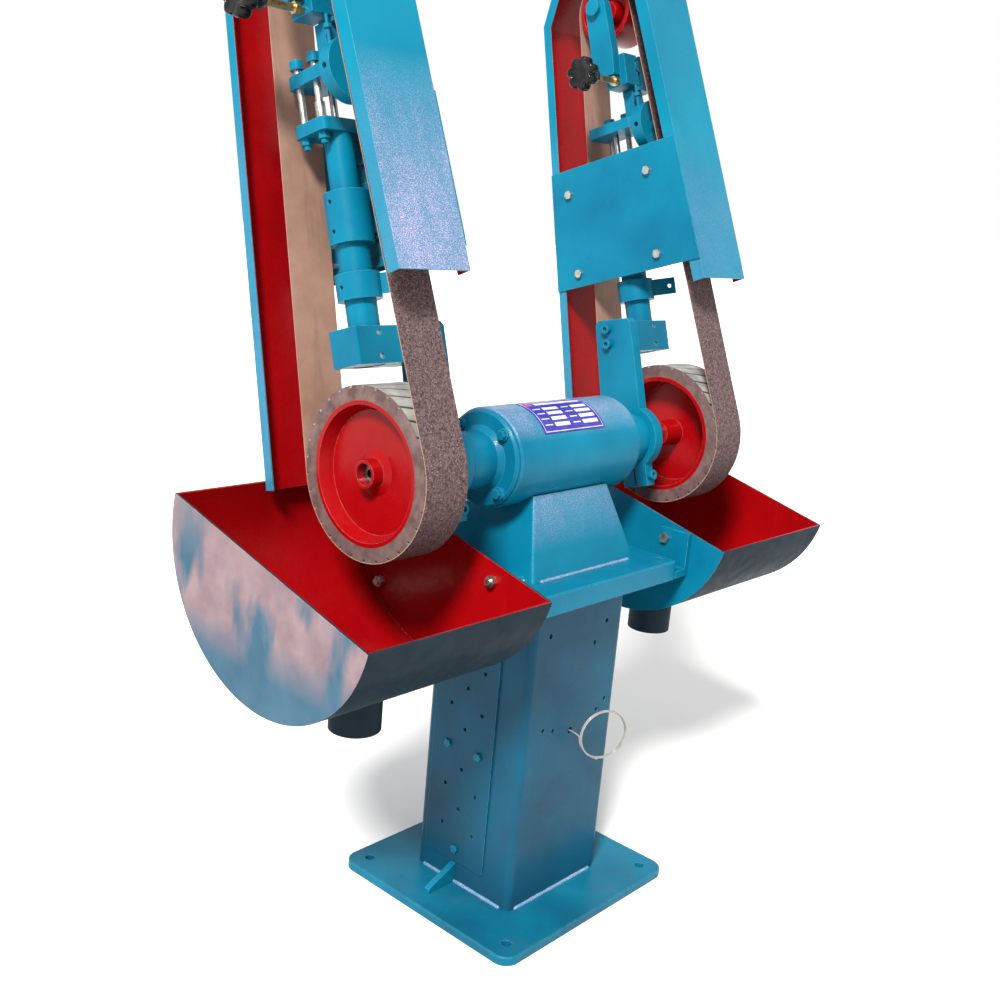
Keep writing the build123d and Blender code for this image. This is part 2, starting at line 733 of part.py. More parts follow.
def post_collars(side):
    """Lower collar with its flag lug, and the upper collar that carries the guards."""
    frame = arm_frame(side)
    inn = inboard(side)
    across = inn * POST_X
    axis = frame.location * Pos(across, POST_B, 0)
    with BuildPart() as collars:
        for low, high in (LOWER_COLLAR_S, UPPER_COLLAR_S):
            pin(frame, (across, POST_B, low), "s", high - low, COLLAR_R)
        middle = sum(LOWER_COLLAR_S) / 2
        with Locations(axis * Pos(0, 0, middle) * Rot(0, 0, -LUG_WAY) * Pos(47, 0, 2)):
            Box(46, 6, 28)
        with Locations(axis * Pos(0, 0, middle) * Rot(0, 0, -LUG_WAY) * Pos(60, 0, 2) * Rot(90, 0, 0)):
            Cylinder(3.5, 10, mode=Mode.SUBTRACT)
        block(frame, (inn * 40, inn * MOUNT_X[0]), (POST_B - 12, POST_B + 12), (326, 364))
        for low, high in (LOWER_COLLAR_S, UPPER_COLLAR_S):
            pin(frame, (across, POST_B, low - 1), "s", high - low + 2, POST_R, Mode.SUBTRACT)
        for s in (251, 326, 366):
            pin(frame, (across - inn * (COLLAR_R + 1), POST_B, s), "x", inn * 12, 3.5, Mode.SUBTRACT)
        carrier = sorted(inn * value for value in MOUNT_X)
        with BuildSketch(profile(frame, carrier[0])):
            with Locations((18.5, 367.5)):
                Rectangle(205, 175)
            with Locations((18.5, 410), (18.5, 306)):
                Rectangle(120, 26, mode=Mode.SUBTRACT)
            with Locations(*PANEL_BOLTS):
                Circle(4, mode=Mode.SUBTRACT)
        extrude(amount=carrier[1] - carrier[0])
    save(collars, f"post_collars_{side}")


# --- Belt arm: guards -----------------------------------------------------------------
MOUNT_X = (56.5, 62.4)


def hood_points():
    """Outer corner of the hood at the back and at the front, as b, s."""
    back = run_b(HOOD_S, BACK_OFFSET)
    front = -run_b(HOOD_S, FRONT_OFFSET)
    return back, front


def channel(outline, lip):
    """Folded channel: a web along the outline with two lips to its right."""
    inner = parallel(outline, SHEET)
    lips = parallel(outline, lip)
    deep = parallel(outline, lip + 1)
    return outline + lips[::-1], inner + deep[::-1]


def guard(side, name, outline, lip):
    frame = arm_frame(side)
    outer, hollow = channel(outline, lip)
    with BuildPart() as sheet:
        with BuildSketch(profile(frame, -GUARD_HALF)):
            with BuildLine():
                Polyline(*outer, close=True)
            make_face()
        extrude(amount=2 * GUARD_HALF)
        with BuildSketch(profile(frame, -GUARD_HALF + SHEET)):
            with BuildLine():
                Polyline(*hollow, close=True)
            make_face()
        extrude(amount=2 * (GUARD_HALF - SHEET), mode=Mode.SUBTRACT)
    save(sheet, f"{name}_{side}")


def guards(side):
    back, front = hood_points()
    slant = HOOD_TOP - HOOD_S
    seam = 4.0
    back_line = [
        (run_b(BACK_START, BACK_OFFSET), BACK_START),
        (back, HOOD_S),
        (back - 0.62 * slant, HOOD_TOP),
        (seam, HOOD_TOP),
    ]
    front_line = [
        (seam, HOOD_TOP),
        (front + 0.62 * slant, HOOD_TOP),
        (front, HOOD_S),
        (-run_b(FRONT_START, FRONT_OFFSET), FRONT_START),
    ]
    guard(side, "guard_back", back_line[::-1], 16)
    guard(side, "guard_front", front_line[::-1], 22)


def guard_panel(side):
    """Flat side panel between the two channels, on the motor's side."""
    frame = arm_frame(side)
    inn = inboard(side)
    low, high = PANEL_S
    x = sorted((inn * GUARD_HALF, inn * (GUARD_HALF + SHEET)))
    with BuildPart() as panel:
        with BuildSketch(profile(frame, x[0])):
            with BuildLine():
                Polyline(
                    (-run_b(low, FRONT_OFFSET), low), (run_b(low, BACK_OFFSET), low),
                    (run_b(high, BACK_OFFSET), high), (-run_b(high, FRONT_OFFSET), high), close=True,
                )
            make_face()
            with Locations(*PANEL_BOLTS):
                Circle(4, mode=Mode.SUBTRACT)
        extrude(amount=x[1] - x[0])
    save(panel, f"guard_panel_{side}")


# --- Belt arm: tension plates -----------------------------------------------------------
def plate_outline(side, depth, hole_r):
    """Rounded plate between two b limits, with the two guide holes."""
    inn = inboard(side)
    with Locations((inn * sum(PLATE_X) / 2, sum(depth) / 2)):
        RectangleRounded(PLATE_X[1] - PLATE_X[0], depth[1] - depth[0], 9)
    with Locations(*[(inn * GUIDE_X, b) for b in GUIDE_B]):
        Circle(hole_r, mode=Mode.SUBTRACT)


def lower_plate(side):
    """Fixed plate on top of the post; the push rod slides through it."""
    frame = arm_frame(side)
    low, high = LOWER_PLATE_S
    with BuildPart() as plate:
        with BuildSketch(level(frame, low)):
            plate_outline(side, LOWER_PLATE_B, GUIDE_R)
            with Locations((inboard(side) * POST_X, POST_B)):
                Circle(PUSH_ROD_R + SLIDE_FIT, mode=Mode.SUBTRACT)
        extrude(amount=high - low)
    save(plate, f"lower_plate_{side}")


def upper_plate(side):
    """Sliding plate with the push rod under it and the neck of the tracking head on it."""
    frame = arm_frame(side)
    low, high = UPPER_PLATE_S
    rod = (inboard(side) * POST_X, POST_B, PUSH_ROD_END)
    with BuildPart() as plate:
        with BuildSketch(level(frame, low)):
            plate_outline(side, UPPER_PLATE_B, GUIDE_R + SLIDE_FIT)
        extrude(amount=high - low)
        pin(frame, rod, "s", low - PUSH_ROD_END, PUSH_ROD_R)
        with BuildSketch(facing(frame, -6)):
            with BuildLine():
                Polyline((-20, high), (-20, HEAD_S[0]), (6, HEAD_S[0]), (16, high), close=True)
            make_face()
        extrude(amount=20)
    save(plate, f"upper_plate_{side}")


GUIDE_HEAD_S = (550.0, 562.0)
GUIDE_SLEEVE = (22.0, 7.0)  # height above the lower plate, radius


def guide_bolts(side):
    """Two long cap bolts fixed in the lower plate; the upper plate slides on their shanks."""
    frame = arm_frame(side)
    across = inboard(side) * GUIDE_X
    head, top = GUIDE_HEAD_S
    low, high = LOWER_PLATE_S
    with BuildPart() as bolts:
        for b in GUIDE_B:
            pin(frame, (across, b, head), "s", top - head, 9.5)
            pin(frame, (across, b, top), "s", -6, 4.5, Mode.SUBTRACT)
            with BuildSketch(level(frame, low - 9)):
                with Locations((across, b)):
                    RegularPolygon(8.5, 6)
            extrude(amount=9)
            pin(frame, (across, b, low - 15), "s", head - low + 15, GUIDE_R)
        pin(frame, (across, GUIDE_B[0], high), "s", *GUIDE_SLEEVE)
    save(bolts, f"guide_bolts_{side}")


SPRING_R = 7.2
SPRING_WIRE_R = 1.3
SPRING_TURNS = 6
SPRING_GAP = 0.3


def tension_spring(side):
    """Compression spring in the post's bore, under the push rod."""
    frame = arm_frame(side)
    low = SPRING_BORE[0] + SPRING_WIRE_R + SPRING_GAP
    height = PUSH_ROD_END - SPRING_WIRE_R - SPRING_GAP - low
    centre = frame.from_local_coords(Vector(inboard(side) * POST_X, POST_B, low))
    pitch = height / SPRING_TURNS
    with BuildPart() as spring:
        with BuildLine() as coil:
            Helix(pitch, height, SPRING_R, center=centre, direction=frame.z_dir)
        path = coil.line
        with BuildSketch(Plane(origin=path @ 0, z_dir=path % 0)):
            Circle(SPRING_WIRE_R)
        sweep(path=path, is_frenet=True)
    save(spring, f"tension_spring_{side}")


# --- Belt arm: tracking head --------------------------------------------------------------
DISC_B = (UPPER_PLATE_B[0] - 20, UPPER_PLATE_B[0])
STOP_SCREW = (-26.0, -38.0)  # x, b


def pivot_disc(side):
    """Thick disc bolted to the upper plate's front end, with the stop screw of the head."""
    frame = arm_frame(side)
    front, back = DISC_B
    stop_x, stop_b = STOP_SCREW
    with BuildPart() as disc:
        pin(frame, (0, back, DISC_S), "b", front - back, DISC_R)
        pin(frame, (0, front, DISC_S), "b", -4, 12)
        pin(frame, (-DISC_R - 1, (front + back) / 2, DISC_S), "x", 12, 4.5, Mode.SUBTRACT)
        with BuildSketch(facing(frame, front - 4)):
            with Locations((0, DISC_S)):
                RegularPolygon(8.5, 6)
        extrude(amount=7)
        pin(frame, (stop_x, stop_b, DISC_S + 25), "s", HEAD_S[0] + 4 - DISC_S - 25, 2.5)
        with BuildSketch(level(frame, HEAD_S[0] - 14)):
            with Locations((stop_x, stop_b)):
                RegularPolygon(6, 6)
        extrude(amount=5)
    save(disc, f"pivot_disc_{side}")


def head_block(side):
    """Fixed half of the tracking head, with the outer knuckles of its hinge."""
    frame = arm_frame(side)
    low, high = HEAD_S
    with BuildPart() as head:
        block(frame, (-1, 27), HEAD_B, HEAD_S)
        block(frame, (-12, 12), (HEAD_B[0], HEAD_B[0] + 18), (low, low + 6))
        for b in (HEAD_B[0], HEAD_B[1] - 13):
            pin(frame, (HINGE_X, b, HINGE_S), "b", 13, 9)
            block(frame, (HINGE_X, 2), (b, b + 13), (HINGE_S - 9, HINGE_S + 9))
        gap = (HEAD_B[0] + 13, HEAD_B[1] - 13)
        block(frame, (-16, 5), gap, (HINGE_S - 10, HINGE_S + 10), Mode.SUBTRACT)
        pin(frame, (HINGE_X, HEAD_B[0], HINGE_S), "b", HEAD_B[1] - HEAD_B[0], HINGE_PIN_R)
    save(head, f"head_block_{side}")


STRAP_X = (-62.0, -44.0)


def idler_arm(side):
    """Tilting half of the tracking head with the strap that carries the idler axle."""
    frame = arm_frame(side)
    low, high = HEAD_S
    with BuildPart() as arm:
        block(frame, (STRAP_X[1], -9), HEAD_B, (low + 7, high))
        for b in (HEAD_B[0] - 1, HEAD_B[1] - 13.4):
            block(frame, (HINGE_X - 9.6, 0), (b, b + 14.4), (HINGE_S - 10, HINGE_S + 10), Mode.SUBTRACT)
        pin(frame, (HINGE_X, HEAD_B[0] + 13.4, HINGE_S), "b", 15.2, 9)
        block(frame, (-12, HINGE_X), (HEAD_B[0] + 13.4, HEAD_B[0] + 28.6), (HINGE_S - 9, HINGE_S + 9))
        with BuildSketch(profile(frame, STRAP_X[0])):
            with BuildLine():
                Line((-20, IDLER_S), (-24, high + 4))
                Line((-24, high + 4), (-22, 612))
                Line((-22, 612), (16, 612))
                Line((16, 612), (20, high + 4))
                Line((20, high + 4), (20, IDLER_S))
                ThreePointArc((20, IDLER_S), (0, IDLER_S + 20), (-20, IDLER_S))
            make_face()
        extrude(amount=STRAP_X[1] - STRAP_X[0])
        pin(frame, (HINGE_X, HEAD_B[0] - 1, HINGE_S), "b", 44, HINGE_PIN_R + FIT, Mode.SUBTRACT)
        pin(frame, (STRAP_X[1] - 1, STUD_B, STUD_S), "x", 40, STUD_R + FIT, Mode.SUBTRACT)
        pin(frame, (STRAP_X[0] - 9, 0, IDLER_S), "x", 9, 13)
        pin(frame, (STRAP_X[1], 0, IDLER_S), "x", 8, 12)
        pin(frame, (STRAP_X[0], 0, IDLER_S), "x", IDLER_HALF - 6 - STRAP_X[0], AXLE_R)
        pin(frame, (IDLER_HALF - 7.9, 0, IDLER_S), "x", 5, 12)
    save(arm, f"idler_arm_{side}")


def idler_wheel(side):
    frame = arm_frame(side)
    start = frame.from_local_coords(Vector(0, 0, IDLER_S))
    with BuildPart() as wheel:
        with BuildSketch(Plane(origin=start, x_dir=frame.x_dir, z_dir=-frame.y_dir)):
            with BuildLine():
                Polyline(
                    (-IDLER_HALF, IDLER_RIM_R - 6), (-IDLER_HALF, IDLER_RIM_R),
                    (IDLER_HALF, IDLER_RIM_R), (IDLER_HALF, IDLER_RIM_R - 6),
                    (8, IDLER_RIM_R - 11), (8, 22), (IDLER_HALF - 8, 17),
                    (IDLER_HALF - 8, AXLE_R + FIT), (8 - IDLER_HALF, AXLE_R + FIT),
                    (8 - IDLER_HALF, 17), (-8, 22), (-8, IDLER_RIM_R - 11), close=True,
                )
            make_face()
        revolve(axis=Axis(start, frame.x_dir))
    save(wheel, f"idler_wheel_{side}")


KNOB_X = -152.0
KNOB_R = 28.0
KNOB_LOBES = 7


def tracking_knob(side):
    """Seven-lobed star knob on the screw that tilts the idler."""
    frame = arm_frame(side)
    place = frame.from_local_coords(Vector(KNOB_X, STUD_B, STUD_S))
    knob_plane = Plane(origin=place, x_dir=frame.y_dir, z_dir=frame.x_dir)
    with BuildPart() as knob:
        with BuildSketch(knob_plane):
            Circle(KNOB_R - 6)
            with PolarLocations(KNOB_R - 7, KNOB_LOBES):
                Circle(7)
        extrude(amount=22)
        fillet(knob.faces().sort_by(Axis.X)[0].outer_wire().edges(), 3)
        with BuildSketch(knob_plane.offset(22)):
            Circle(13)
        extrude(amount=22, taper=6)
        pin(frame, (KNOB_X - 1, STUD_B, STUD_S), "x", 4, 4, Mode.SUBTRACT)
        pin(frame, (KNOB_X + 16, STUD_B, STUD_S), "x", 40, STUD_R, Mode.SUBTRACT)
    save(knob, f"tracking_knob_{side}")
    with BuildPart() as screw:
        pin(frame, (KNOB_X + 16, STUD_B, STUD_S), "x", -2.4 - KNOB_X - 16, STUD_R)
        with BuildSketch(profile(frame, STRAP_X[1] - 16)):
            with Locations((STUD_B, STUD_S)):
                RegularPolygon(8.5, 6)
        extrude(amount=8)
    save(screw, f"tracking_screw_{side}")


def belt(side):
    """Open loop of abrasive belt round the contact wheel and the idler."""
    frame = arm_frame(side)
    plane = profile(frame, -BELT_WIDTH / 2)

    def outline(shrink):
        radius, small = WHEEL_R - shrink, IDLER_R - shrink
        turn = degrees(TAPER)
        with BuildLine(mode=Mode.PRIVATE) as line:
            low = CenterArc((0, 0), radius, 180 - turn, 180 + 2 * turn)
            top = CenterArc((0, IDLER_S), small, -turn + 0, 180 + 2 * turn)
            Line(low @ 1, top @ 0)
            Line(top @ 1, low @ 0)
        return line.line

    with BuildPart() as loop:
        with BuildSketch(plane):
            make_face(outline(0))
            make_face(outline(BELT_THICK), mode=Mode.SUBTRACT)
        extrude(amount=BELT_WIDTH)
    save(loop, f"belt_{side}")


def belt_unit(side):
    trough(side)
    arm_bracket(side)
    arm_screws(side)
    post_clamp(side)
    post(side)
    post_collars(side)
    guards(side)
    guard_panel(side)
    lower_plate(side)
    upper_plate(side)
    guide_bolts(side)
    tension_spring(side)
    pivot_disc(side)
    head_block(side)
    idler_arm(side)
    idler_wheel(side)
    tracking_knob(side)
    belt(side)


def build():
    os.makedirs("parts", exist_ok=True)
    base_plate()
    column()
    column_cover()
    column_gusset()
    top_plate()
    motor_seat()
    motor_housing()
    end_bells()
    nameplate()
    motor_cores()
    contact_wheels()
    contact_tyres()
    trough_brackets()
    wire_loop()
    for side in SIDES:
        belt_unit(side)


build()
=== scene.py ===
"""Looks of the double-ended pedestal belt grinder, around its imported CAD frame."""

import json
from math import asin, cos, pi, radians, sin

import bpy
from mathutils import Matrix, Vector, noise


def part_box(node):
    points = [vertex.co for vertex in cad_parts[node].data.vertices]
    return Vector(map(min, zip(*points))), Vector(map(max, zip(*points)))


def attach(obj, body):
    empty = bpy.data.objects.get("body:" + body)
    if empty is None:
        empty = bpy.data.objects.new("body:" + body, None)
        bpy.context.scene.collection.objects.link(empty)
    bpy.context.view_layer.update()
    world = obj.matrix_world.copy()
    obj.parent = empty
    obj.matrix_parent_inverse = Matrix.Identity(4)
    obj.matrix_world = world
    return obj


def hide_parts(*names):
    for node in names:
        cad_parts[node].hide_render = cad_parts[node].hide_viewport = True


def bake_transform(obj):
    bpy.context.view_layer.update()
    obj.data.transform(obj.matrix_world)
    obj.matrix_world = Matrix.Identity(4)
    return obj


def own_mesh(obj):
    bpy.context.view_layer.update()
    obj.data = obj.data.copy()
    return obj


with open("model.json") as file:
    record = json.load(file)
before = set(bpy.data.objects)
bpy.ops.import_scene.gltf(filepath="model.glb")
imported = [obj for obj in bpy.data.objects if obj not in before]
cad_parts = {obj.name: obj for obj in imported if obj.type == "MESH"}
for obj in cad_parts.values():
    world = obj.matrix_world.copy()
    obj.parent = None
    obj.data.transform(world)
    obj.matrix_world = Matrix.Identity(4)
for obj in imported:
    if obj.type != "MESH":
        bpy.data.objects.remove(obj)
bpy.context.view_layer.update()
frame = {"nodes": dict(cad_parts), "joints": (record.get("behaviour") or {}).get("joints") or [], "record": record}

nodes = frame["nodes"]
joints = {joint["name"]: joint for joint in frame["joints"]}
SIDES = {"left": -1, "right": 1}

# --- Sizes shared with the CAD source, in metres ----------------------------------------
WHEEL_R = 0.120
IDLER_R = 0.052
BELT_WIDTH = 0.075
BELT_THICK = 0.0012
MOTOR_R = 0.075
SPINDLE = Vector(joints["shaft_spin"]["pos_m"])


# --- Camera -----------------------------------------------------------------------------
CAMERA_AT = (-1.391, -1.1358, 1.0865)
CAMERA_AZIMUTH = radians(48.7)
CAMERA_DOWN = radians(13.9)
CAMERA_ROLL = radians(5.08)
CAMERA_LENS = 42.4


def camera():
    right = Vector((cos(CAMERA_AZIMUTH), -sin(CAMERA_AZIMUTH), 0))
    ahead = Vector(
        (
            sin(CAMERA_AZIMUTH) * cos(CAMERA_DOWN),
            cos(CAMERA_AZIMUTH) * cos(CAMERA_DOWN),
            -sin(CAMERA_DOWN),
        )
    )
    up = right.cross(ahead)
    x_axis = right * cos(CAMERA_ROLL) + up * sin(CAMERA_ROLL)
    y_axis = up * cos(CAMERA_ROLL) - right * sin(CAMERA_ROLL)
    data = bpy.data.cameras.new("camera")
    data.lens = CAMERA_LENS
    data.sensor_width = 36
    obj = bpy.data.objects.new("camera", data)
    turn = Matrix((x_axis, y_axis, -ahead)).transposed().to_4x4()
    obj.matrix_world = Matrix.Translation(CAMERA_AT) @ turn
    bpy.context.collection.objects.link(obj)
    bpy.context.scene.camera = obj


camera()


# --- The arm's own frame: x along the shaft, b backwards, s up along the arm ------------
class Arm:
    def __init__(self, side):
        self.side = side
        self.inn = -SIDES[side]
        self.origin = Vector(joints[f"arm_swing_{side}"]["pos_m"])
        self.up = Vector(joints[f"tension_slide_{side}"]["axis"]).normalized()
        self.back = self.up.cross(Vector((1, 0, 0)))
        idler = Vector(joints[f"idler_spin_{side}"]["pos_m"])
        self.length = (idler - self.origin).dot(self.up)

    def point(self, x, b, s):
        return self.origin + Vector((x, 0, 0)) + self.back * b + self.up * s


# --- Mesh helpers -----------------------------------------------------------------------
def add(name, mesh, *materials):
    obj = bpy.data.objects.new(name, mesh)
    bpy.context.collection.objects.link(obj)
    for material in materials:
        mesh.materials.append(material)
    return obj


def mesh_of(name, points, faces, smooth=True):
    mesh = bpy.data.meshes.new(name)
    mesh.from_pydata([tuple(p) for p in points], [], faces)
    mesh.update()
    for polygon in mesh.polygons:
        polygon.use_smooth = smooth
    return mesh


def tube(name, points, radius, sides=12):
    """Capped tube along points; radius is one number or one for each point."""
    count = len(points)
    radii = radius if hasattr(radius, "__len__") else [radius] * count
    rings = []
    normal = None
    for i, point in enumerate(points):
        before = points[max(i - 1, 0)]
        after = points[min(i + 1, count - 1)]
        tangent = (after - before).normalized()
        if normal is None:
            normal = tangent.orthogonal().normalized()
        normal = (normal - tangent * normal.dot(tangent)).normalized()
        side = tangent.cross(normal)
        for k in range(sides):
            angle = 2 * pi * k / sides
            rings.append(point + (normal * cos(angle) + side * sin(angle)) * radii[i])
    faces = []
    for i in range(count - 1):
        j = i + 1
        for k in range(sides):
            m = (k + 1) % sides
            faces.append((i * sides + k, i * sides + m, j * sides + m, j * sides + k))
    faces.append(tuple(reversed(range(sides))))
    faces.append(tuple(range((count - 1) * sides, count * sides)))
    return mesh_of(name, rings, faces)


# --- Materials --------------------------------------------------------------------------
class Shader:
    """A Principled material with a few short ways to add nodes."""

    def __init__(self, name, metallic=0.0, roughness=0.5, coat=0.0, specular=0.5):
        self.material = bpy.data.materials.new(name)
        self.material.use_nodes = True
        self.tree = self.material.node_tree
        self.shader = self.tree.nodes["Principled BSDF"]
        self.shader.inputs["Metallic"].default_value = metallic
        self.shader.inputs["Roughness"].default_value = roughness
        self.shader.inputs["Coat Weight"].default_value = coat
        self.shader.inputs["Coat Roughness"].default_value = 0.08
        self.shader.inputs["Specular IOR Level"].default_value = specular
        self.place = self.node("ShaderNodeTexCoord").outputs["Object"]
        self.normals = []

    def node(self, kind, **settings):
        node = self.tree.nodes.new(kind)
        for key, value in settings.items():
            setattr(node, key, value)
        return node

    def link(self, source, target):
        self.tree.links.new(source, target)

    def stretched(self, scale, turn=(0, 0, 0)):
        mapping = self.node("ShaderNodeMapping")
        mapping.inputs["Rotation"].default_value = turn
        mapping.inputs["Scale"].default_value = scale
        self.link(self.place, mapping.inputs["Vector"])
        return mapping.outputs["Vector"]

    def noise(self, scale, detail=3.0, rough=0.5, stretch=None, turn=(0, 0, 0)):
        node = self.node("ShaderNodeTexNoise")
        node.inputs["Scale"].default_value = scale
        node.inputs["Detail"].default_value = detail
        node.inputs["Roughness"].default_value = rough
        self.link(self.stretched(stretch, turn) if stretch else self.place, node.inputs["Vector"])
        return node.outputs["Fac"]

    def cells(self, scale):
        node = self.node("ShaderNodeTexVoronoi")
        node.inputs["Scale"].default_value = scale
        self.link(self.place, node.inputs["Vector"])
        return node.outputs["Distance"]

    def height(self):
        """Height above the floor in metres."""
        split = self.node("ShaderNodeSeparateXYZ")
        self.link(self.place, split.inputs["Vector"])
        return split.outputs["Z"]

    def soften_edges(self, radius):
        """Round every edge a little in shading; gives how much of an edge a point is."""
        bevel = self.node("ShaderNodeBevel", samples=4)
        bevel.inputs["Radius"].default_value = radius
        geometry = self.node("ShaderNodeNewGeometry")
        dot = self.node("ShaderNodeVectorMath", operation="DOT_PRODUCT")
        self.link(bevel.outputs["Normal"], dot.inputs[0])
        self.link(geometry.outputs["Normal"], dot.inputs[1])
        self.normals.append(bevel.outputs["Normal"])
        return self.ramp(dot.outputs["Value"], 0.985, 0.86)

    def ramp(self, factor, low, high, start=0.0, end=1.0):
        node = self.node("ShaderNodeMapRange")
        node.inputs["From Min"].default_value = low
        node.inputs["From Max"].default_value = high
        node.inputs["To Min"].default_value = start
        node.inputs["To Max"].default_value = end
        self.link(factor, node.inputs["Value"])
        return node.outputs["Result"]

    def times(self, a, b):
        node = self.node("ShaderNodeMath", operation="MULTIPLY")
        self.link(a, node.inputs[0])
        self.link(b, node.inputs[1])
        return node.outputs[0]

    def mix(self, factor, a, b):
        node = self.node("ShaderNodeMix", data_type="RGBA")
        self.link(factor, node.inputs["Factor"])
        for value, socket in ((a, node.inputs["A"]), (b, node.inputs["B"])):
            if isinstance(value, tuple):
                socket.default_value = (*value, 1)
            else:
                self.link(value, socket)
        return node.outputs["Result"]

    def upward(self):
        """How far the surface faces up, from 0 to 1."""
        geometry = self.node("ShaderNodeNewGeometry")
        split = self.node("ShaderNodeSeparateXYZ")
        self.link(geometry.outputs["Normal"], split.inputs["Vector"])
        return split.outputs["Z"]

    def color(self, value):
        self.link(value, self.shader.inputs["Base Color"])

    def roughness(self, value):
        self.link(value, self.shader.inputs["Roughness"])

    def bump(self, height, distance, strength=1.0):
        node = self.node("ShaderNodeBump")
        node.inputs["Distance"].default_value = distance
        node.inputs["Strength"].default_value = strength
        self.link(height, node.inputs["Height"])
        if self.normals:
            self.link(self.normals[-1], node.inputs["Normal"])
        self.normals.append(node.outputs["Normal"])

    def done(self):
        if self.normals:
            self.link(self.normals[-1], self.shader.inputs["Normal"])
            self.link(self.normals[-1], self.shader.inputs["Coat Normal"])
        return self.material


def painted(name, light, dark, edge, glare=None, rough=(0.26, 0.44), specular=0.09):
    """Gloss paint with a hammered skin, soft streaks and settled dust, and lighter edges that are partly rubbed
    wear and partly a painted edge highlight.

    glare is two heights in metres and a strength: a painted glare, pale haze with glittering specks, grows from
    none at the first height to that strength at the second one.
    """
    paint = Shader(name, roughness=0.3, coat=0.03, specular=specular)
    rubbed = paint.soften_edges(0.0012)
    tone = paint.ramp(paint.noise(7, 4), 0.3, 0.7)
    coat = paint.mix(tone, dark, light)
    dust = tuple(0.6 * c + 0.03 for c in light)
    streak = paint.ramp(paint.noise(22, 5, 0.6, (1, 1, 0.15)), 0.6, 0.8, 0, 0.1)
    coat = paint.mix(streak, coat, dust)
    settled = paint.times(
        paint.ramp(paint.upward(), 0.6, 1.0, 0, 0.3), paint.ramp(paint.noise(16, 6, 0.65), 0.5, 0.75)
    )
    coat = paint.mix(settled, coat, dust)
    # painted glare: pale haze and glittering specks laid over the paint between the two heights
    if glare:
        high, low, strength = glare
        glare_area = paint.ramp(paint.height(), high, low, 0, strength)
        patch = paint.ramp(paint.noise(26, 4, 0.6, (1, 1, 0.22)), 0.25, 0.7, 0.35, 1.0)
        glare_specks = paint.ramp(paint.noise(850, 2, 0.6), 0.5, 0.6)
        glare_tint = paint.mix(paint.ramp(paint.cells(800), 0.2, 0.5), (0.18, 0.2, 0.5), (0.62, 0.42, 0.62))
        haze = paint.mix(paint.times(glare_area, patch), coat, (0.085, 0.17, 0.26))
        coat = paint.mix(paint.times(paint.times(glare_area, patch), glare_specks), haze, glare_tint)
    # lighter edges: partly rubbed wear, partly a painted edge highlight
    worn = paint.times(rubbed, paint.ramp(paint.noise(120, 4, 0.6), 0.35, 0.6, 0.15, 0.75))
    paint.color(paint.mix(worn, coat, edge))
    paint.roughness(paint.ramp(paint.noise(40, 4), 0.3, 0.7, *rough))
    paint.bump(paint.noise(230, 2), 0.00035, 0.5)
    paint.bump(paint.noise(700, 2), 0.00012, 0.6)
    return paint.done()


def rubbed_paint(name):
    """Blue-grey paint smeared with dull pink dust that has run towards the front."""
    paint = Shader(name, roughness=0.6, coat=0.02, specular=0.2)
    edge = paint.soften_edges(0.0012)
    tone = paint.ramp(paint.noise(12, 4), 0.35, 0.65)
    base = paint.mix(tone, (0.02, 0.065, 0.105), (0.035, 0.09, 0.135))
    base = paint.mix(paint.ramp(paint.height(), 0.6, 0.7), base, (0.12, 0.115, 0.13))
    smear = paint.ramp(paint.noise(11, 4, 0.5, (1, 1.25, 0.42), (radians(-38), 0, 0)), 0.38, 0.5)
    region = paint.ramp(paint.height(), 0.485, 0.545)
    haze = paint.ramp(paint.noise(55, 5, 0.7), 0.3, 0.7, 0.75, 1.0)
    pink = paint.mix(paint.ramp(paint.noise(20, 4), 0.35, 0.65), (0.165, 0.1, 0.108), (0.215, 0.145, 0.15))
    coat = paint.mix(paint.times(paint.times(smear, haze), region), base, pink)
    # pale edges: partly rubbed wear, partly a painted edge highlight
    worn = paint.times(edge, paint.ramp(paint.noise(90, 3), 0.4, 0.6))
    paint.color(paint.mix(worn, coat, (0.4, 0.33, 0.34)))
    paint.roughness(paint.ramp(paint.noise(30, 4), 0.3, 0.7, 0.5, 0.72))
    paint.bump(paint.noise(420, 3), 0.00015, 0.6)
    return paint.done()


def plated(name, color, roughness=0.32, scratch=None):
    metal = Shader(name, metallic=1.0, roughness=roughness)
    dark = tuple(c * 0.6 for c in color)
    metal.color(metal.mix(metal.ramp(metal.noise(90, 5, 0.6), 0.35, 0.7), dark, color))
    metal.roughness(metal.ramp(metal.noise(140, 4), 0.3, 0.7, roughness * 0.7, roughness * 1.4))
    metal.bump(metal.noise(300, 3, 0.6, scratch), 0.00008, 0.5)
    return metal.done()


def grit(name):
    """Brown abrasive grain with pale worn specks."""
    grain = Shader(name, roughness=0.9, specular=0.25)
    speck = grain.ramp(grain.cells(430), 0.1, 0.4)
    tone = grain.ramp(grain.noise(240, 4, 0.7), 0.38, 0.62)
    base = grain.mix(tone, (0.035, 0.021, 0.024), (0.12, 0.075, 0.072))
    light = grain.mix(grain.ramp(grain.noise(900, 2), 0.5, 0.6), base, (0.36, 0.28, 0.27))
    grain.color(grain.mix(speck, light, base))
    grain.bump(grain.cells(380), 0.0012, 1.0)
    grain.bump(grain.noise(1400, 2), 0.0003, 0.7)
    return grain.done()


def backing(name):
    """Tan cloth backing with a fine weave and rubbed lengthwise marks."""
    cloth = Shader(name, roughness=0.8, specular=0.3)
    tone = cloth.ramp(cloth.noise(18, 5, 0.6), 0.3, 0.7)
    base = cloth.mix(tone, (0.24, 0.13, 0.092), (0.33, 0.195, 0.14))
    worn = cloth.ramp(cloth.noise(45, 4, 0.6, (1, 0.3, 0.1)), 0.55, 0.75, 0, 0.5)
    cloth.color(cloth.mix(worn, base, (0.14, 0.085, 0.065)))
    cloth.bump(cloth.noise(1500, 2), 0.0002, 0.6)
    return cloth.done()


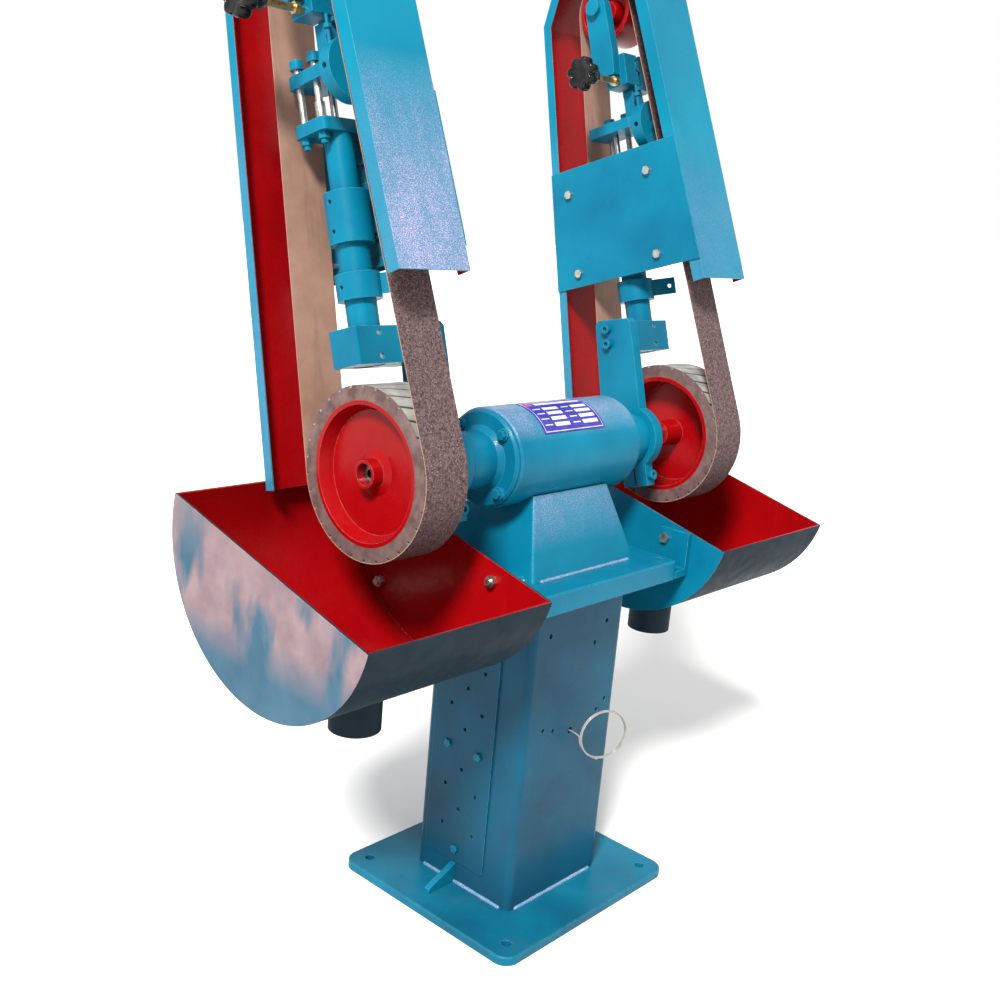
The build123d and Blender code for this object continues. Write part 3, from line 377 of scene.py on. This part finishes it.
def rubber(name):
    tread = Shader(name, roughness=0.75, specular=0.3)
    tone = tread.ramp(tread.noise(35, 5, 0.6), 0.35, 0.68)
    tread.color(tread.mix(tone, (0.15, 0.145, 0.135), (0.29, 0.28, 0.265)))
    tread.bump(tread.noise(500, 3), 0.0003, 0.6)
    return tread.done()


def tyre_side(name):
    """The tyre's flat sides, stained reddish brown with overspray and grinding dust."""
    side = Shader(name, roughness=0.8, specular=0.3)
    tone = side.ramp(side.noise(55, 5, 0.6), 0.35, 0.68)
    side.color(side.mix(tone, (0.07, 0.037, 0.035), (0.14, 0.09, 0.084)))
    side.bump(side.noise(600, 3), 0.0004, 0.7)
    return side.done()


def plastic(name, color):
    knob = Shader(name, roughness=0.3, coat=0.08, specular=0.25)
    tone = knob.ramp(knob.noise(60, 4), 0.4, 0.7)
    knob.color(knob.mix(tone, color, tuple(c * 1.5 + 0.002 for c in color)))
    knob.roughness(knob.ramp(knob.noise(90, 4), 0.3, 0.7, 0.16, 0.34))
    knob.bump(knob.noise(500, 2), 0.00008, 0.4)
    return knob.done()


def laminated(name):
    """Stacked core sheets."""
    core = Shader(name, metallic=0.8, roughness=0.5)
    sheets = core.noise(40, 2, 0.5, (40, 0.2, 0.2))
    core.color(core.mix(core.ramp(sheets, 0.4, 0.6), (0.08, 0.08, 0.09), (0.2, 0.2, 0.21)))
    core.bump(sheets, 0.0003, 0.6)
    return core.done()


# lighter edge colour: partly rubbed wear, partly a painted edge highlight
CYAN_EDGE = (0.1, 0.34, 0.4)
BLUE = painted("blue_paint", (0.001, 0.14, 0.225), (0.0008, 0.085, 0.155), CYAN_EDGE)
# painted glare: the left guard front gets a lighter blue with pale haze and glittering specks growing towards the
# bottom
LEFT_GUARD_PAINTED_GLARE_BLUE = painted(
    "left_guard_painted_glare_blue", (0.001, 0.155, 0.24), (0.0008, 0.12, 0.2), CYAN_EDGE, (1.27, 1.06, 1.0)
)
# painted glare: both guards get a lighter blue with a faint haze and glitter towards the bottom
GUARD_PAINTED_GLARE_BLUE = painted("guard_painted_glare_blue", (0.001, 0.155, 0.24), (0.0008, 0.12, 0.2), CYAN_EDGE, (1.25, 1.1, 0.14))
# painted glare: haze and glitter growing up the seat's front faces
SEAT_PAINTED_GLARE_BLUE = painted("seat_painted_glare_blue", (0.001, 0.14, 0.22), (0.0008, 0.1, 0.17), CYAN_EDGE, (0.6, 0.72, 0.7))
# painted highlight: haze and glitter in a band along the top of the motor
MOTOR_PAINTED_HIGHLIGHT_BLUE = painted(
    "motor_painted_highlight_blue", (0.001, 0.14, 0.225), (0.0008, 0.085, 0.155), CYAN_EDGE, (0.764, 0.8, 0.6)
)
# painted glints: a lighter blue with haze and glitter all along the weld beads
WELD_PAINTED_GLINT_BLUE = painted(
    "weld_painted_glint_blue", (0.02, 0.2, 0.3), (0.002, 0.12, 0.2), CYAN_EDGE, (1.0, 0.9, 0.7), (0.15, 0.3), 0.5
)
# painted shade: a darker copy of the blue for the column and its cover
COLUMN_PAINTED_SHADE_BLUE = painted("column_painted_shade_blue", (0.003, 0.066, 0.12), (0.007, 0.042, 0.074), CYAN_EDGE)
# painted shade: a darker copy of the blue for the base plate
BASE_PAINTED_SHADE_BLUE = painted("base_painted_shade_blue", (0.003, 0.12, 0.195), (0.003, 0.062, 0.11), CYAN_EDGE)
RED = painted(
    "red_paint", (0.27, 0.0015, 0.003), (0.19, 0.001, 0.002), (0.4, 0.12, 0.12), None, (0.2, 0.34), 0.12
)
TROUGH = rubbed_paint("trough_paint")
SLATE = painted(
    "slate_paint", (0.012, 0.023, 0.032), (0.007, 0.015, 0.022), (0.09, 0.08, 0.085), None, (0.5, 0.7), 0.04
)
ZINC = plated("zinc", (0.58, 0.58, 0.55), 0.42)
STEEL = plated("bright_steel", (0.36, 0.36, 0.37), 0.3, (0.1, 1, 1))
BEARING = plated("bearing_steel", (0.7, 0.7, 0.72), 0.2)
SPRING = plated("spring_steel", (0.5, 0.5, 0.5), 0.28)
BRASS = plated("brass", (0.72, 0.55, 0.28), 0.35)
CORE = laminated("core_steel")
GRIT = grit("abrasive_grit")
BACKING = backing("belt_backing")
RUBBER = rubber("tyre_rubber")
TYRE_SIDE = tyre_side("tyre_side")
BLACK = plastic("black_plastic", (0.003, 0.003, 0.0035))
PLATE_BLUE = plastic("nameplate_blue", (0.026, 0.02, 0.19))
PLATE_PALE = plastic("nameplate_pale", (0.42, 0.42, 0.46))
PLATE_RED = plastic("nameplate_red", (0.5, 0.01, 0.01))
WIRE = plastic("wire_sheath", (0.17, 0.165, 0.155))

FINISH = {
    "blue_paint": BLUE,
    "guard_paint": GUARD_PAINTED_GLARE_BLUE,
    "red_paint": RED,
    "trough_paint": SLATE,
    "zinc": ZINC,
    "bright_steel": STEEL,
    "bearing_steel": BEARING,
    "core_steel": CORE,
    "spring_steel": SPRING,
    "tyre_rubber": RUBBER,
    "abrasive_belt": GRIT,
    "black_plastic": BLACK,
    "brass": BRASS,
    "nameplate_print": PLATE_BLUE,
    "wire_sheath": WIRE,
}


# whole parts repainted: painted shade on column, cover and base plate, painted highlight band on the motor
WHOLE_FINISH = {
    "column": COLUMN_PAINTED_SHADE_BLUE,
    "base_plate": BASE_PAINTED_SHADE_BLUE,
    "column_cover": COLUMN_PAINTED_SHADE_BLUE,
    "motor_housing": MOTOR_PAINTED_HIGHLIGHT_BLUE,
    "cover_screws": BLUE,
}


def finish_nodes():
    for part in frame["record"]["subparts"]:
        obj = nodes[part["node"]]
        obj.data.materials.clear()
        obj.data.materials.append(FINISH[part["material_slot"]])


finish_nodes()


def second_finish(node, material, choose):
    """Give the faces that choose(centre, normal) picks a second material."""
    mesh = nodes[node].data
    mesh.materials.append(material)
    index = len(mesh.materials) - 1
    for polygon in mesh.polygons:
        if choose(polygon.center, polygon.normal):
            polygon.material_index = index


# --- Two-coloured CAD pieces ------------------------------------------------------------
FLAT = 0.9  # a face turned this far towards an axis counts as square to it
GUARD_HALF_INSIDE = 0.061  # half width between a guard's cheeks
GUARD_SKIN = 0.0002


def paint_guards(arm):
    """Red on every face that looks into the belt's path, blue outside."""
    def inside(centre, normal):
        place = centre - arm.origin
        b, s = place.dot(arm.back), place.dot(arm.up)
        heart = Vector((0, 0, min(max(s, 0), arm.length)))
        inward = -(arm.back * b + arm.up * (s - heart.z))
        between = abs(place.x) <= GUARD_HALF_INSIDE + GUARD_SKIN
        lining = between and normal.dot(inward.normalized()) > 0.2
        cheek = abs(place.x) < GUARD_HALF_INSIDE and abs(normal.x) > FLAT
        return lining or cheek

    for name in ("guard_front", "guard_back"):
        second_finish(f"{name}_{arm.side}", RED, inside)


TROUGH_CENTRE = (-0.013, 0.633)
TROUGH_TILT = radians(14.2)
TROUGH_MIDDLE = (0.2025, 0.1945)  # half width and depth in the middle of the sheet


def paint_trough(side):
    """Red inside, dusty on the outer end, blue on the inner end, slate underneath."""
    low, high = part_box(f"trough_{side}")
    near, far = sorted((abs(low.x), abs(high.x)))

    def inside(centre, normal):
        y, z = centre.y - TROUGH_CENTRE[0], centre.z - TROUGH_CENTRE[1]
        u = y * cos(TROUGH_TILT) + z * sin(TROUGH_TILT)
        v = z * cos(TROUGH_TILT) - y * sin(TROUGH_TILT)
        within = (u / TROUGH_MIDDLE[0]) ** 2 + (v / TROUGH_MIDDLE[1]) ** 2 < 0.9995
        return within and near + 0.002 < abs(centre.x) < far - 0.002

    second_finish(f"trough_{side}", RED, inside)
    second_finish(f"trough_{side}", TROUGH, lambda c, n: abs(c.x) > far - 0.001 and abs(n.x) > FLAT)
    second_finish(f"trough_{side}", BLUE, lambda c, n: abs(c.x) < near + 0.001 and abs(n.x) > FLAT)


BRACKET_SCREWS_FROM = 0.079  # inboard of the arm's middle
SLEEVE_SPAN = (0.4585, 0.5495)  # the guide bolts' bare length between the plates, up the arm
BARE_ROD_BELOW = 0.5238


def paint_fasteners(arm):
    """Painted screw heads, and the bare rod under the sliding plate."""

    def up(centre):
        return (centre - arm.origin).dot(arm.up)

    def on_bracket(centre, normal):
        return (centre.x - arm.origin.x) * arm.inn > BRACKET_SCREWS_FROM

    second_finish(f"arm_screws_{arm.side}", BLUE, on_bracket)
    second_finish(f"guide_bolts_{arm.side}", BLUE, lambda c, n: not SLEEVE_SPAN[0] < up(c) < SLEEVE_SPAN[1])
    second_finish(f"upper_plate_{arm.side}", STEEL, lambda c, n: up(c) < BARE_ROD_BELOW)


def paint_tyres():
    def flat_side(centre, normal):
        return abs(normal.x) > FLAT

    second_finish("contact_tyres", TYRE_SIDE, flat_side)


# --- Belts ------------------------------------------------------------------------------
ARC_STEPS = 40
RUN_STEPS = 60
ACROSS_STEPS = 12
TILT_ROOM = 0.0011  # slack over the idler, which tilts to track the belt


def belt_outline(length, shrink):
    """Belt loop in the arm's plane as b, s points, inside its outer surface by shrink."""
    big, small = WHEEL_R - shrink, IDLER_R + TILT_ROOM - shrink
    taper = asin((big - small) / length)
    points = []
    for k in range(ARC_STEPS + 1):
        angle = pi - taper + (pi + 2 * taper) * k / ARC_STEPS
        points.append((big * cos(angle), big * sin(angle)))
    start, end = points[-1], (small * cos(taper), length + small * sin(taper))
    for k in range(1, RUN_STEPS):
        share = k / RUN_STEPS
        points.append((start[0] + (end[0] - start[0]) * share, start[1] + (end[1] - start[1]) * share))
    for k in range(ARC_STEPS + 1):
        angle = taper + (pi - 2 * taper) * k / ARC_STEPS
        points.append((small * cos(angle), length + small * sin(angle)))
    start, end = points[-1], points[0]
    for k in range(1, RUN_STEPS):
        share = k / RUN_STEPS
        points.append((start[0] + (end[0] - start[0]) * share, start[1] + (end[1] - start[1]) * share))
    return points


def belt(arm):
    outer = belt_outline(arm.length, 0)
    inner = belt_outline(arm.length, BELT_THICK)
    count = len(outer)
    points, faces, kinds = [], [], []
    rows = [outer] * (ACROSS_STEPS + 1) + [inner] * (ACROSS_STEPS + 1)
    across = [BELT_WIDTH * (k / ACROSS_STEPS - 0.5) for k in range(ACROSS_STEPS + 1)]
    for row, x in zip(rows, across + across[::-1]):
        points += [arm.point(x, b, s) for b, s in row]
    for r in range(len(rows)):
        following = (r + 1) % len(rows)
        for i in range(count):
            j = (i + 1) % count
            faces.append((r * count + i, r * count + j, following * count + j, following * count + i))
            kinds.append(0 if r < ACROSS_STEPS else 1)
    mesh = mesh_of(f"belt_{arm.side}_cloth", points, faces)
    loop = add(mesh.name, mesh, GRIT, BACKING)
    for polygon, kind in zip(mesh.polygons, kinds):
        polygon.material_index = kind
    edges = loop.modifiers.new("edges", "EDGE_SPLIT")
    edges.split_angle = radians(50)
    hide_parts(f"belt_{arm.side}")
    arm.point(0, 0, WHEEL_R)
    arm.point(0, 0, arm.length - IDLER_R)
    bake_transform(loop)


# --- Springs ----------------------------------------------------------------------------
SPRING_R = 0.0072
SPRING_WIRE_R = 0.0013
SPRING_TURNS = 6
SPRING_SPAN = (0.3303, 0.3847)
SPRING_END_RISE = 0.0014  # climb over each closed end turn
POST_AT = (0.0185, 0.0214)  # inboard, back


def spring(arm):
    """Closed-end coil in the post's bore."""
    low, high = SPRING_SPAN
    across, b = arm.inn * POST_AT[0], POST_AT[1]
    steps = 20 * (SPRING_TURNS + 2)
    points = []
    for k in range(steps + 1):
        turn = (SPRING_TURNS + 2) * k / steps
        share = min(max((turn - 1) / SPRING_TURNS, 0), 1)
        rise = low + SPRING_WIRE_R + share * (high - low - 2 * SPRING_WIRE_R)
        rise += SPRING_END_RISE * (min(turn, 1) - max(turn - SPRING_TURNS - 1, 0))
        rise -= SPRING_END_RISE / 2
        angle = 2 * pi * turn
        points.append(arm.point(across + SPRING_R * cos(angle), b + SPRING_R * sin(angle), rise))
    coil = add(f"spring_{arm.side}", tube("spring", points, SPRING_WIRE_R), SPRING)
    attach(coil, f"arm_{arm.side}")
    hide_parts(f"tension_spring_{arm.side}")
    anchor = tuple(arm.point(across, b, low))
    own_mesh(coil)


# --- Star knobs -------------------------------------------------------------------------
KNOB_LOBES = 7
KNOB_AROUND = 140
KNOB_R = 0.0272
KNOB_SCALLOP = 0.24  # share of the radius that the hollows between lobes take away


def knob(arm):
    """Moulded star knob with rounded lobes and a dished face."""
    low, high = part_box(f"tracking_knob_{arm.side}")
    turn_at = Vector(joints[f"knob_turn_{arm.side}"]["pos_m"])
    centre = Vector((low.x, turn_at.y, turn_at.z))
    depth = high.x - low.x
    profile = (
        (0.002, 0.02, 0), (0.0035, 0.3, 0), (0.003, 0.62, 0.2), (0.0008, 0.78, 0.6), (0.0, 0.88, 0.9),
        (0.0012, 0.96, 1), (0.004, 1.0, 1), (0.017, 1.0, 1), (0.0205, 0.96, 1), (0.022, 0.88, 0.9),
        (0.0226, 0.6, 0.25), (0.024, 0.52, 0), (0.03, 0.48, 0), (depth - 0.001, 0.42, 0), (depth, 0.38, 0),
        (depth, 0.1, 0),
    )
    points, faces = [], []
    for x, share, lobe in profile:
        for k in range(KNOB_AROUND):
            angle = 2 * pi * k / KNOB_AROUND
            wave = 0.5 - 0.5 * cos(KNOB_LOBES * angle)
            scallop = 1 - KNOB_SCALLOP * lobe * wave ** 1.6
            r = KNOB_R * share * scallop
            points.append(centre + Vector((x, r * cos(angle), r * sin(angle))))
    for row in range(len(profile) - 1):
        for k in range(KNOB_AROUND):
            m = (k + 1) % KNOB_AROUND
            a, b = row * KNOB_AROUND, (row + 1) * KNOB_AROUND
            faces.append((a + k, b + k, b + m, a + m))
    faces.append(tuple(range(KNOB_AROUND)))
    last = (len(profile) - 1) * KNOB_AROUND
    faces.append(tuple(reversed(range(last, last + KNOB_AROUND))))
    star = add(f"star_knob_{arm.side}", mesh_of("star_knob", points, faces), BLACK)
    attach(star, f"knob_{arm.side}")
    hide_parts(f"tracking_knob_{arm.side}")


# --- Weld beads -------------------------------------------------------------------------
WELD_STEP = 0.0012
WELD_SCALLOP = 0.0052
WELD_END = 0.004  # length over which a bead fades in and out
WELD_CORNER = 0.016  # gap left at each corner of a box
WELD_RISE = 0.001


def weld(name, start, end, body, radius):
    """Scalloped bead along a joint between two plates."""
    start, end = Vector(start), Vector(end)
    length = (end - start).length
    steps = max(12, int(length / WELD_STEP))
    points, radii = [], []
    for k in range(steps + 1):
        share = k / steps
        along = length * share
        wobble = noise.noise(Vector((along * 60, start.x * 9, start.z * 7)))
        ripple = 0.5 + 0.5 * cos(2 * pi * along / WELD_SCALLOP)
        ends = min(1, (along + 0.001) / WELD_END, (length - along + 0.001) / WELD_END)
        points.append(start.lerp(end, share))
        radii.append(radius * ends * (0.78 + 0.14 * ripple + 0.22 * wobble))
    # weld beads carry painted glints
    bead = add(name, tube(name, points, radii, 10), WELD_PAINTED_GLINT_BLUE)
    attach(bead, body)


def box_welds(name, node, z, body, radius):
    """Bead round the foot of an upright piece, at height z."""
    low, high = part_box(node)
    corners = [(low.x, low.y), (high.x, low.y), (high.x, high.y), (low.x, high.y)]
    for k in range(4):
        a, b = Vector((*corners[k], z)), Vector((*corners[(k + 1) % 4], z))
        gap = (b - a).normalized() * WELD_CORNER
        weld(f"{name}_{k}", a + gap, b - gap, body, radius)


# --- Nameplate --------------------------------------------------------------------------
PLATE_ARC = (radians(90), radians(146))
PLATE_STEPS = 14
PLATE_THICK = 0.001
PRINT_LIFT = 0.00015


def plate_patch(name, x0, x1, start, end, material):
    """Thin print wrapped on the motor; start and end are shares of the plate's arc."""
    low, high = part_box("nameplate")
    points, faces = [], []
    for k in range(PLATE_STEPS + 1):
        share = start + (end - start) * k / PLATE_STEPS
        angle = PLATE_ARC[0] + (PLATE_ARC[1] - PLATE_ARC[0]) * share
        for x in (low.x + (high.x - low.x) * x0, low.x + (high.x - low.x) * x1):
            for radius in (MOTOR_R + 0.0008, MOTOR_R + PLATE_THICK + PRINT_LIFT):
                points.append(SPINDLE + Vector((x, radius * cos(angle), radius * sin(angle))))
    for k in range(PLATE_STEPS):
        a, b = 4 * k, 4 * k + 4
        for p, q in ((1, 3), (3, 2), (2, 0), (0, 1)):
            faces.append((a + p, a + q, b + q, b + p))
    faces += [(0, 2, 3, 1), tuple(4 * PLATE_STEPS + i for i in (1, 3, 2, 0))]
    patch = add(name, mesh_of(name, points, faces, smooth=False), material)
    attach(patch, "stand")


def nameplate():
    for number, (start, end) in enumerate(((0.03, 0.045), (0.955, 0.97))):
        plate_patch(f"plate_rule_{number}", 0.02, 0.98, start, end, PLATE_PALE)
    for number, (left, right) in enumerate(((0.02, 0.026), (0.974, 0.98))):
        plate_patch(f"plate_side_{number}", left, right, 0.03, 0.97, PLATE_PALE)
    plate_patch("plate_mark", 0.06, 0.13, 0.1, 0.22, PLATE_RED)
    plate_patch("plate_title", 0.2, 0.94, 0.11, 0.2, PLATE_PALE)
    for row in range(4):
        start = 0.32 + 0.15 * row
        for column, (left, right) in enumerate(((0.22, 0.46), (0.68, 0.93))):
            plate_patch(f"plate_field_{row}_{column}", left, right, start, start + 0.085, PLATE_PALE)
        for column, (left, right) in enumerate(((0.06, 0.18), (0.52, 0.64))):
            low, high = start + 0.03, start + 0.055
            plate_patch(f"plate_label_{row}_{column}", left, right, low, high, PLATE_PALE)


# --- Wire loop --------------------------------------------------------------------------
WIRE_R = 0.00125
WIRE_HOLE = (0.002, 0.294)
COIL_R = 0.04
COIL_TURN = radians(25)
COIL_POINTS = 16
COIL_TURNS = 2.25
COIL_PITCH = 0.0032
COIL_DROP = 0.002
WIRE_START = 0.094
WIRE_BEND = 0.122


def wire_route():
    """The same route as the solid's: out of the hole and round the ring to a bare end."""
    x, z = WIRE_HOLE
    step = 2 * pi / COIL_POINTS
    corner = COIL_R / cos(step / 2)
    points = [Vector((x, -WIRE_START, z)), Vector((x, -WIRE_BEND, z))]
    for k in range(round(COIL_TURNS * COIL_POINTS)):
        angle = pi + step * (k + 0.5)
        across = COIL_R + corner * cos(angle)
        away = COIL_PITCH * (k + 1) / COIL_POINTS
        points.append(
            Vector(
                (
                    x + across * cos(COIL_TURN) - away * sin(COIL_TURN),
                    -WIRE_BEND - across * sin(COIL_TURN) - away * cos(COIL_TURN),
                    z + corner * sin(angle) - COIL_DROP,
                )
            )
        )
    return points


def wire_loop():
    route = wire_route()
    curve = bpy.data.curves.new("wire", "CURVE")
    curve.dimensions = "3D"
    curve.bevel_depth = WIRE_R
    curve.bevel_resolution = 4
    curve.resolution_u = 12
    curve.use_fill_caps = True
    spline = curve.splines.new("NURBS")
    spline.points.add(len(route) - 1)
    for place, point in zip(spline.points, route):
        place.co = (*point, 1)
    spline.order_u = 3
    spline.use_endpoint_u = True
    curve.materials.append(WIRE)
    wire = bpy.data.objects.new("wire", curve)
    bpy.context.collection.objects.link(wire)
    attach(wire, "stand")
    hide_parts("wire_loop")


# --- Floor and light --------------------------------------------------------------------
KEY_TOWARDS = (-0.62, -0.3, 0.66)
KEY_STRENGTH = 7.0
KEY_SOFTNESS = 12
KEY_COLOR = (1, 0.985, 0.96)
FLOOR_HALF = 30
FLOOR_DROP = 0.0005


def sun_light(name, towards, strength, softness):
    """Far key light from the direction towards, as wide as softness in degrees."""
    data = bpy.data.lights.new(name, "SUN")
    data.energy = strength
    data.angle = radians(softness)
    data.color = KEY_COLOR
    obj = bpy.data.objects.new(name, data)
    obj.location = Vector(towards) * 4
    obj.rotation_euler = Vector(towards).to_track_quat("Z", "Y").to_euler()
    bpy.context.collection.objects.link(obj)


def stage():
    floor = Shader("floor", roughness=0.9, specular=0.1)
    floor.color(floor.mix(floor.noise(3, 3), (0.7, 0.7, 0.7), (0.74, 0.74, 0.74)))
    turns = ((-1, -1), (1, -1), (1, 1), (-1, 1))
    corners = [(x * FLOOR_HALF, y * FLOOR_HALF, -FLOOR_DROP) for x, y in turns]
    ground = add("floor", mesh_of("floor", corners, [(0, 1, 2, 3)]), floor.done())
    world = bpy.data.worlds.new("world")
    world.use_nodes = True
    world.node_tree.nodes["Background"].inputs["Color"].default_value = (1, 1, 1, 1)
    world.node_tree.nodes["Background"].inputs["Strength"].default_value = 1.0
    bpy.context.scene.world = world
    sun_light("key", KEY_TOWARDS, KEY_STRENGTH, KEY_SOFTNESS)
    bpy.context.scene.view_settings.view_transform = "Standard"


# --- Everything together ----------------------------------------------------------------
for side in SIDES:
    arm = Arm(side)
    paint_guards(arm)
    paint_trough(side)
    belt(arm)
    spring(arm)
    paint_fasteners(arm)
    knob(arm)
paint_tyres()
nameplate()
wire_loop()
box_welds("base_weld", "column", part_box("base_plate")[1].z + WELD_RISE, "stand", 0.004)
box_welds("seat_weld", "motor_seat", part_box("top_plate")[1].z + WELD_RISE, "stand", 0.0035)
# painted glare on the left guard's front faces
second_finish("guard_front_left", LEFT_GUARD_PAINTED_GLARE_BLUE, lambda c, n: n.y < -0.85)
for node, material in WHOLE_FINISH.items():
    second_finish(node, material, lambda c, n: True)
# painted glare on the seat's front faces
second_finish("motor_seat", SEAT_PAINTED_GLARE_BLUE, lambda c, n: n.y < -0.5)
stage()
